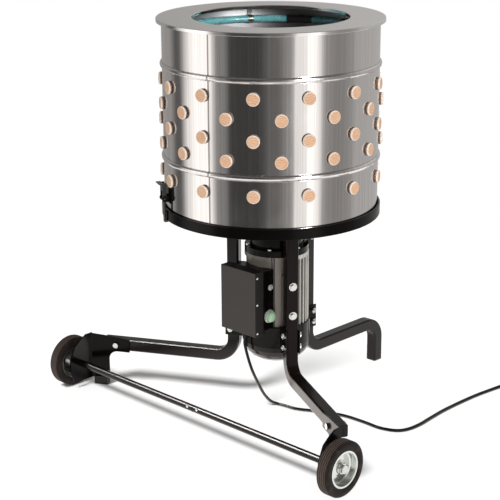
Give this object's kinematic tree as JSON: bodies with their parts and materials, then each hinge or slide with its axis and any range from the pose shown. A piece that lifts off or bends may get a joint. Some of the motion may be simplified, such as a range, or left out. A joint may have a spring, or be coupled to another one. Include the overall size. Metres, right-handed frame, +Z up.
{
  "type": "poultry plucker",
  "caption": "Drum poultry plucker: ribbed rubber fingers in a steel tub, a spinning finger plate over a geared motor, a water ring, toggle latches and a wheeled stand.",
  "frame": {"origin": "on the floor, in the middle of the stand's width and length", "axes": "+Z up, X along the wheel axle, +Y towards the foot leg; the control box faces -Y"},
  "size_m": [0.9426, 0.9645, 0.9658],
  "materials": {
    "stainless": "rolled stainless sheet, satin with soft reflections",
    "finger_rubber": "tan natural rubber, matt",
    "hose_plastic": "teal reinforced hose",
    "brass": "turned brass fitting",
    "black_paint": "black powder coat, half gloss",
    "cowl_paint": "brown-black gloss paint",
    "pan_steel": "dark painted steel sheet",
    "zinc": "bright zinc plate",
    "turned_steel": "machined steel",
    "motor_alloy": "die-cast alloy, matt",
    "laminations": "laminated steel with windings",
    "fan_plastic": "moulded fan",
    "black_rubber": "black rubber",
    "tyre": "brown-black solid rubber tyre",
    "lid_paint": "warm dark grey matt paint",
    "button_green": "pale green push button",
    "bezel": "bright metal ring"
  },
  "bodies": {
    "frame": {"tub": "stainless", "rim_ring": "stainless", "hose_clips": "stainless", "wall_fingers_row_1": "finger_rubber", "wall_fingers_row_2": "finger_rubber", "wall_fingers_row_3": "finger_rubber", "wall_fingers_row_4": "finger_rubber", "wall_fingers_row_5": "finger_rubber", "irrigation_hose": "hose_plastic", "hose_tee": "brass", "base_ring": "black_paint", "latch_bases": "black_paint", "gear_housing": "black_paint", "gear_cover": "black_paint", "left_leg": "black_paint", "right_leg": "black_paint", "rear_leg": "black_paint", "wheel_brackets": "black_paint", "axle_tubes": "black_paint", "switch_box": "black_paint", "motor_end_shield": "black_paint", "fan_cowl": "cowl_paint", "pan_floor": "pan_steel", "pan_bolts": "zinc", "housing_bolts": "zinc", "leg_bolts": "zinc", "axle_fasteners": "zinc", "box_screws": "zinc", "axle_rod": "zinc", "bearings": "turned_steel", "motor_frame": "motor_alloy", "motor_stator": "laminations", "leg_plugs": "black_rubber", "foot_blocks": "black_rubber", "cord_gland": "black_rubber", "cord": "black_rubber", "cord_coil": "black_rubber", "cord_plug": "black_rubber", "box_lid": "lid_paint", "button_bezel": "bezel"},
    "plate": {"feather_plate": "stainless", "plate_fingers": "finger_rubber", "plate_hub": "turned_steel", "plate_bolts": "zinc", "shaft_seal": "black_rubber", "output_shaft": "turned_steel", "output_gear": "turned_steel"},
    "rotor": {"motor_shaft": "turned_steel", "motor_rotor": "laminations", "motor_fan": "fan_plastic"},
    "intermediate": {"intermediate_gears": "turned_steel"},
    "left_wheel": {"left_tyre": "tyre", "left_rim": "zinc"},
    "right_wheel": {"right_tyre": "tyre", "right_rim": "zinc"},
    "front_lever": {"front_latch_lever": "zinc"},
    "front_hook": {"front_latch_hook": "zinc"},
    "rear_lever": {"rear_latch_lever": "zinc"},
    "rear_hook": {"rear_latch_hook": "zinc"},
    "button": {"start_button": "button_green"}
  },
  "joints": [
    {"name": "plate_spin", "type": "hinge", "parent": "frame", "child": "plate", "pos_m": [0, -0.046, 0.5], "axis": [0, 0, 1], "continuous": true},
    {"name": "motor_spin", "type": "hinge", "parent": "frame", "child": "rotor", "pos_m": [0, -0.026, 0.3], "axis": [0, 0, 1], "continuous": true},
    {"name": "intermediate_spin", "type": "hinge", "parent": "frame", "child": "intermediate", "pos_m": [0.0278, -0.03927, 0.43], "axis": [0, 0, 1], "continuous": true},
    {"name": "left_wheel_spin", "type": "hinge", "parent": "frame", "child": "left_wheel", "pos_m": [-0.456, -0.31, 0.064], "axis": [1, 0, 0], "continuous": true},
    {"name": "right_wheel_spin", "type": "hinge", "parent": "frame", "child": "right_wheel", "pos_m": [0.456, -0.31, 0.064], "axis": [1, 0, 0], "continuous": true},
    {"name": "front_latch", "type": "hinge", "parent": "frame", "child": "front_lever", "pos_m": [-0.12067, -0.28283, 0.554], "axis": [0.891, -0.454, 0], "range_deg": [0, 95]},
    {"name": "front_hook_swing", "type": "hinge", "parent": "front_lever", "child": "front_hook", "pos_m": [-0.1201, -0.28171, 0.56291], "axis": [0.891, -0.454, 0], "range_deg": [-95, 0]},
    {"name": "rear_latch", "type": "hinge", "parent": "frame", "child": "rear_lever", "pos_m": [-0.01391, 0.21944, 0.554], "axis": [-0.9986, -0.0523, 0], "range_deg": [0, 95]},
    {"name": "rear_hook_swing", "type": "hinge", "parent": "rear_lever", "child": "rear_hook", "pos_m": [-0.01384, 0.21818, 0.56291], "axis": [-0.9986, -0.0523, 0], "range_deg": [-95, 0]},
    {"name": "start_press", "type": "slide", "parent": "frame", "child": "button", "axis": [-1, 0, 0], "range_m": [0, 0.004], "stiffness_N_per_m": 400}
  ],
  "couplings": [
    {"joint": "motor_spin", "follows": "plate_spin", "ratio": 6.1765},
    {"joint": "intermediate_spin", "follows": "plate_spin", "ratio": -2.0588},
    {"joint": "front_hook_swing", "follows": "front_latch", "ratio": -1},
    {"joint": "rear_hook_swing", "follows": "rear_latch", "ratio": -1}
  ]
}
